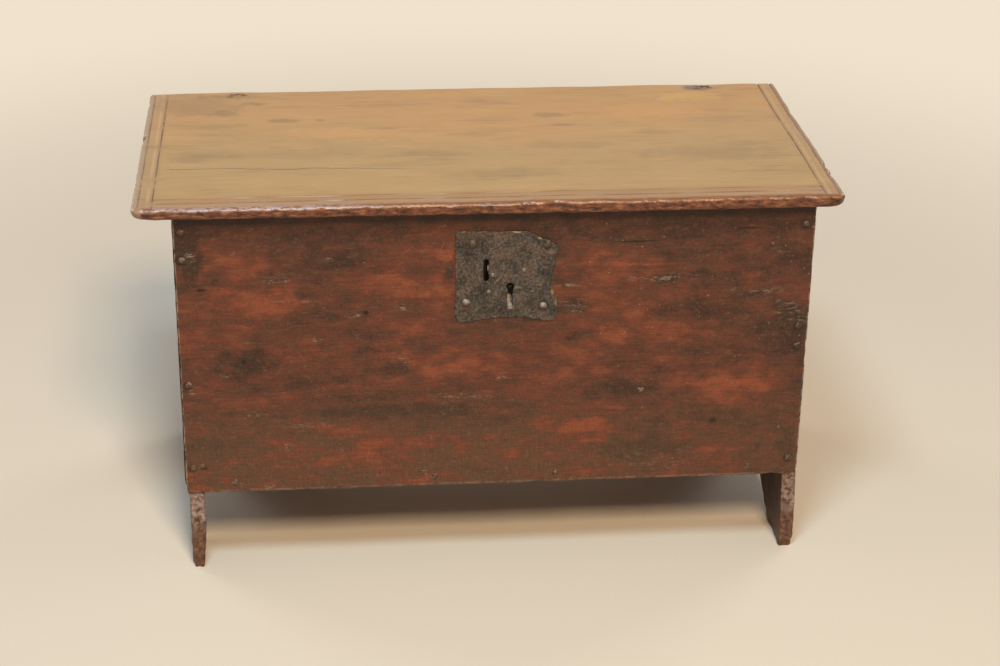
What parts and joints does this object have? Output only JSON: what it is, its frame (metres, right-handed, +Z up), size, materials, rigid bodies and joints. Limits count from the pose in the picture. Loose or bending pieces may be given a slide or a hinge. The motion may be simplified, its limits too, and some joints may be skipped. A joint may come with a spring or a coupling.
{
  "type": "boarded coffer chest",
  "caption": "Low storage chest of nailed planks: an overhanging moulded lid on wire pin hinges, notched end boards that run down as feet, and a forged plate lock.",
  "frame": {"origin": "on the floor, under the centre of the lid's outline", "axes": "+X to the right of someone facing the front, along the lid; +Y to the back; +Z up"},
  "size_m": [0.9, 0.45, 0.526],
  "materials": {
    "lid_wood": "waxed, worn and faded, open grain along the length",
    "front_wood": "dark red-brown old polish, rubbed and stained",
    "end_wood": "dark old polish, dry and worn at the feet",
    "back_wood": "rough sawn, dry and dusty",
    "inner_wood": "bare, dry, unfinished",
    "plate_iron": "forged, pitted and waxed",
    "nail_iron": "forged, faceted, dark",
    "hinge_iron": "drawn wire, dark and lightly rusted",
    "works_iron": "filed iron, lightly rusted"
  },
  "bodies": {
    "carcass": {"front_board": "front_wood", "back_board": "back_wood", "left_end_board": "end_wood", "right_end_board": "end_wood", "bottom_board": "inner_wood", "front_nails_left": "nail_iron", "front_nails_right": "nail_iron", "back_nails_left": "nail_iron", "back_nails_right": "nail_iron", "bottom_nails_front": "nail_iron", "bottom_nails_back": "nail_iron", "bottom_nails_left": "nail_iron", "bottom_nails_right": "nail_iron", "left_hinge_back_pin": "hinge_iron", "right_hinge_back_pin": "hinge_iron", "lock_plate": "plate_iron", "lock_plate_nails": "nail_iron", "lock_bolt_guide": "works_iron", "lock_bolt_stud": "works_iron", "lock_key_bridge": "works_iron", "lock_spring": "works_iron"},
    "lid": {"lid_board": "lid_wood", "left_hinge_lid_pin": "hinge_iron", "right_hinge_lid_pin": "hinge_iron"},
    "bolt": {"lock_bolt": "works_iron"}
  },
  "joints": [
    {"name": "lid_hinge", "type": "hinge", "parent": "carcass", "child": "lid", "pos_m": [0.007, 0.214, 0.5015], "axis": [-1, 0, 0], "range_deg": [0, 110]},
    {"name": "lock_bolt_slide", "type": "slide", "parent": "carcass", "child": "bolt", "axis": [-1, 0, 0], "range_m": [0, 0.011]}
  ]
}
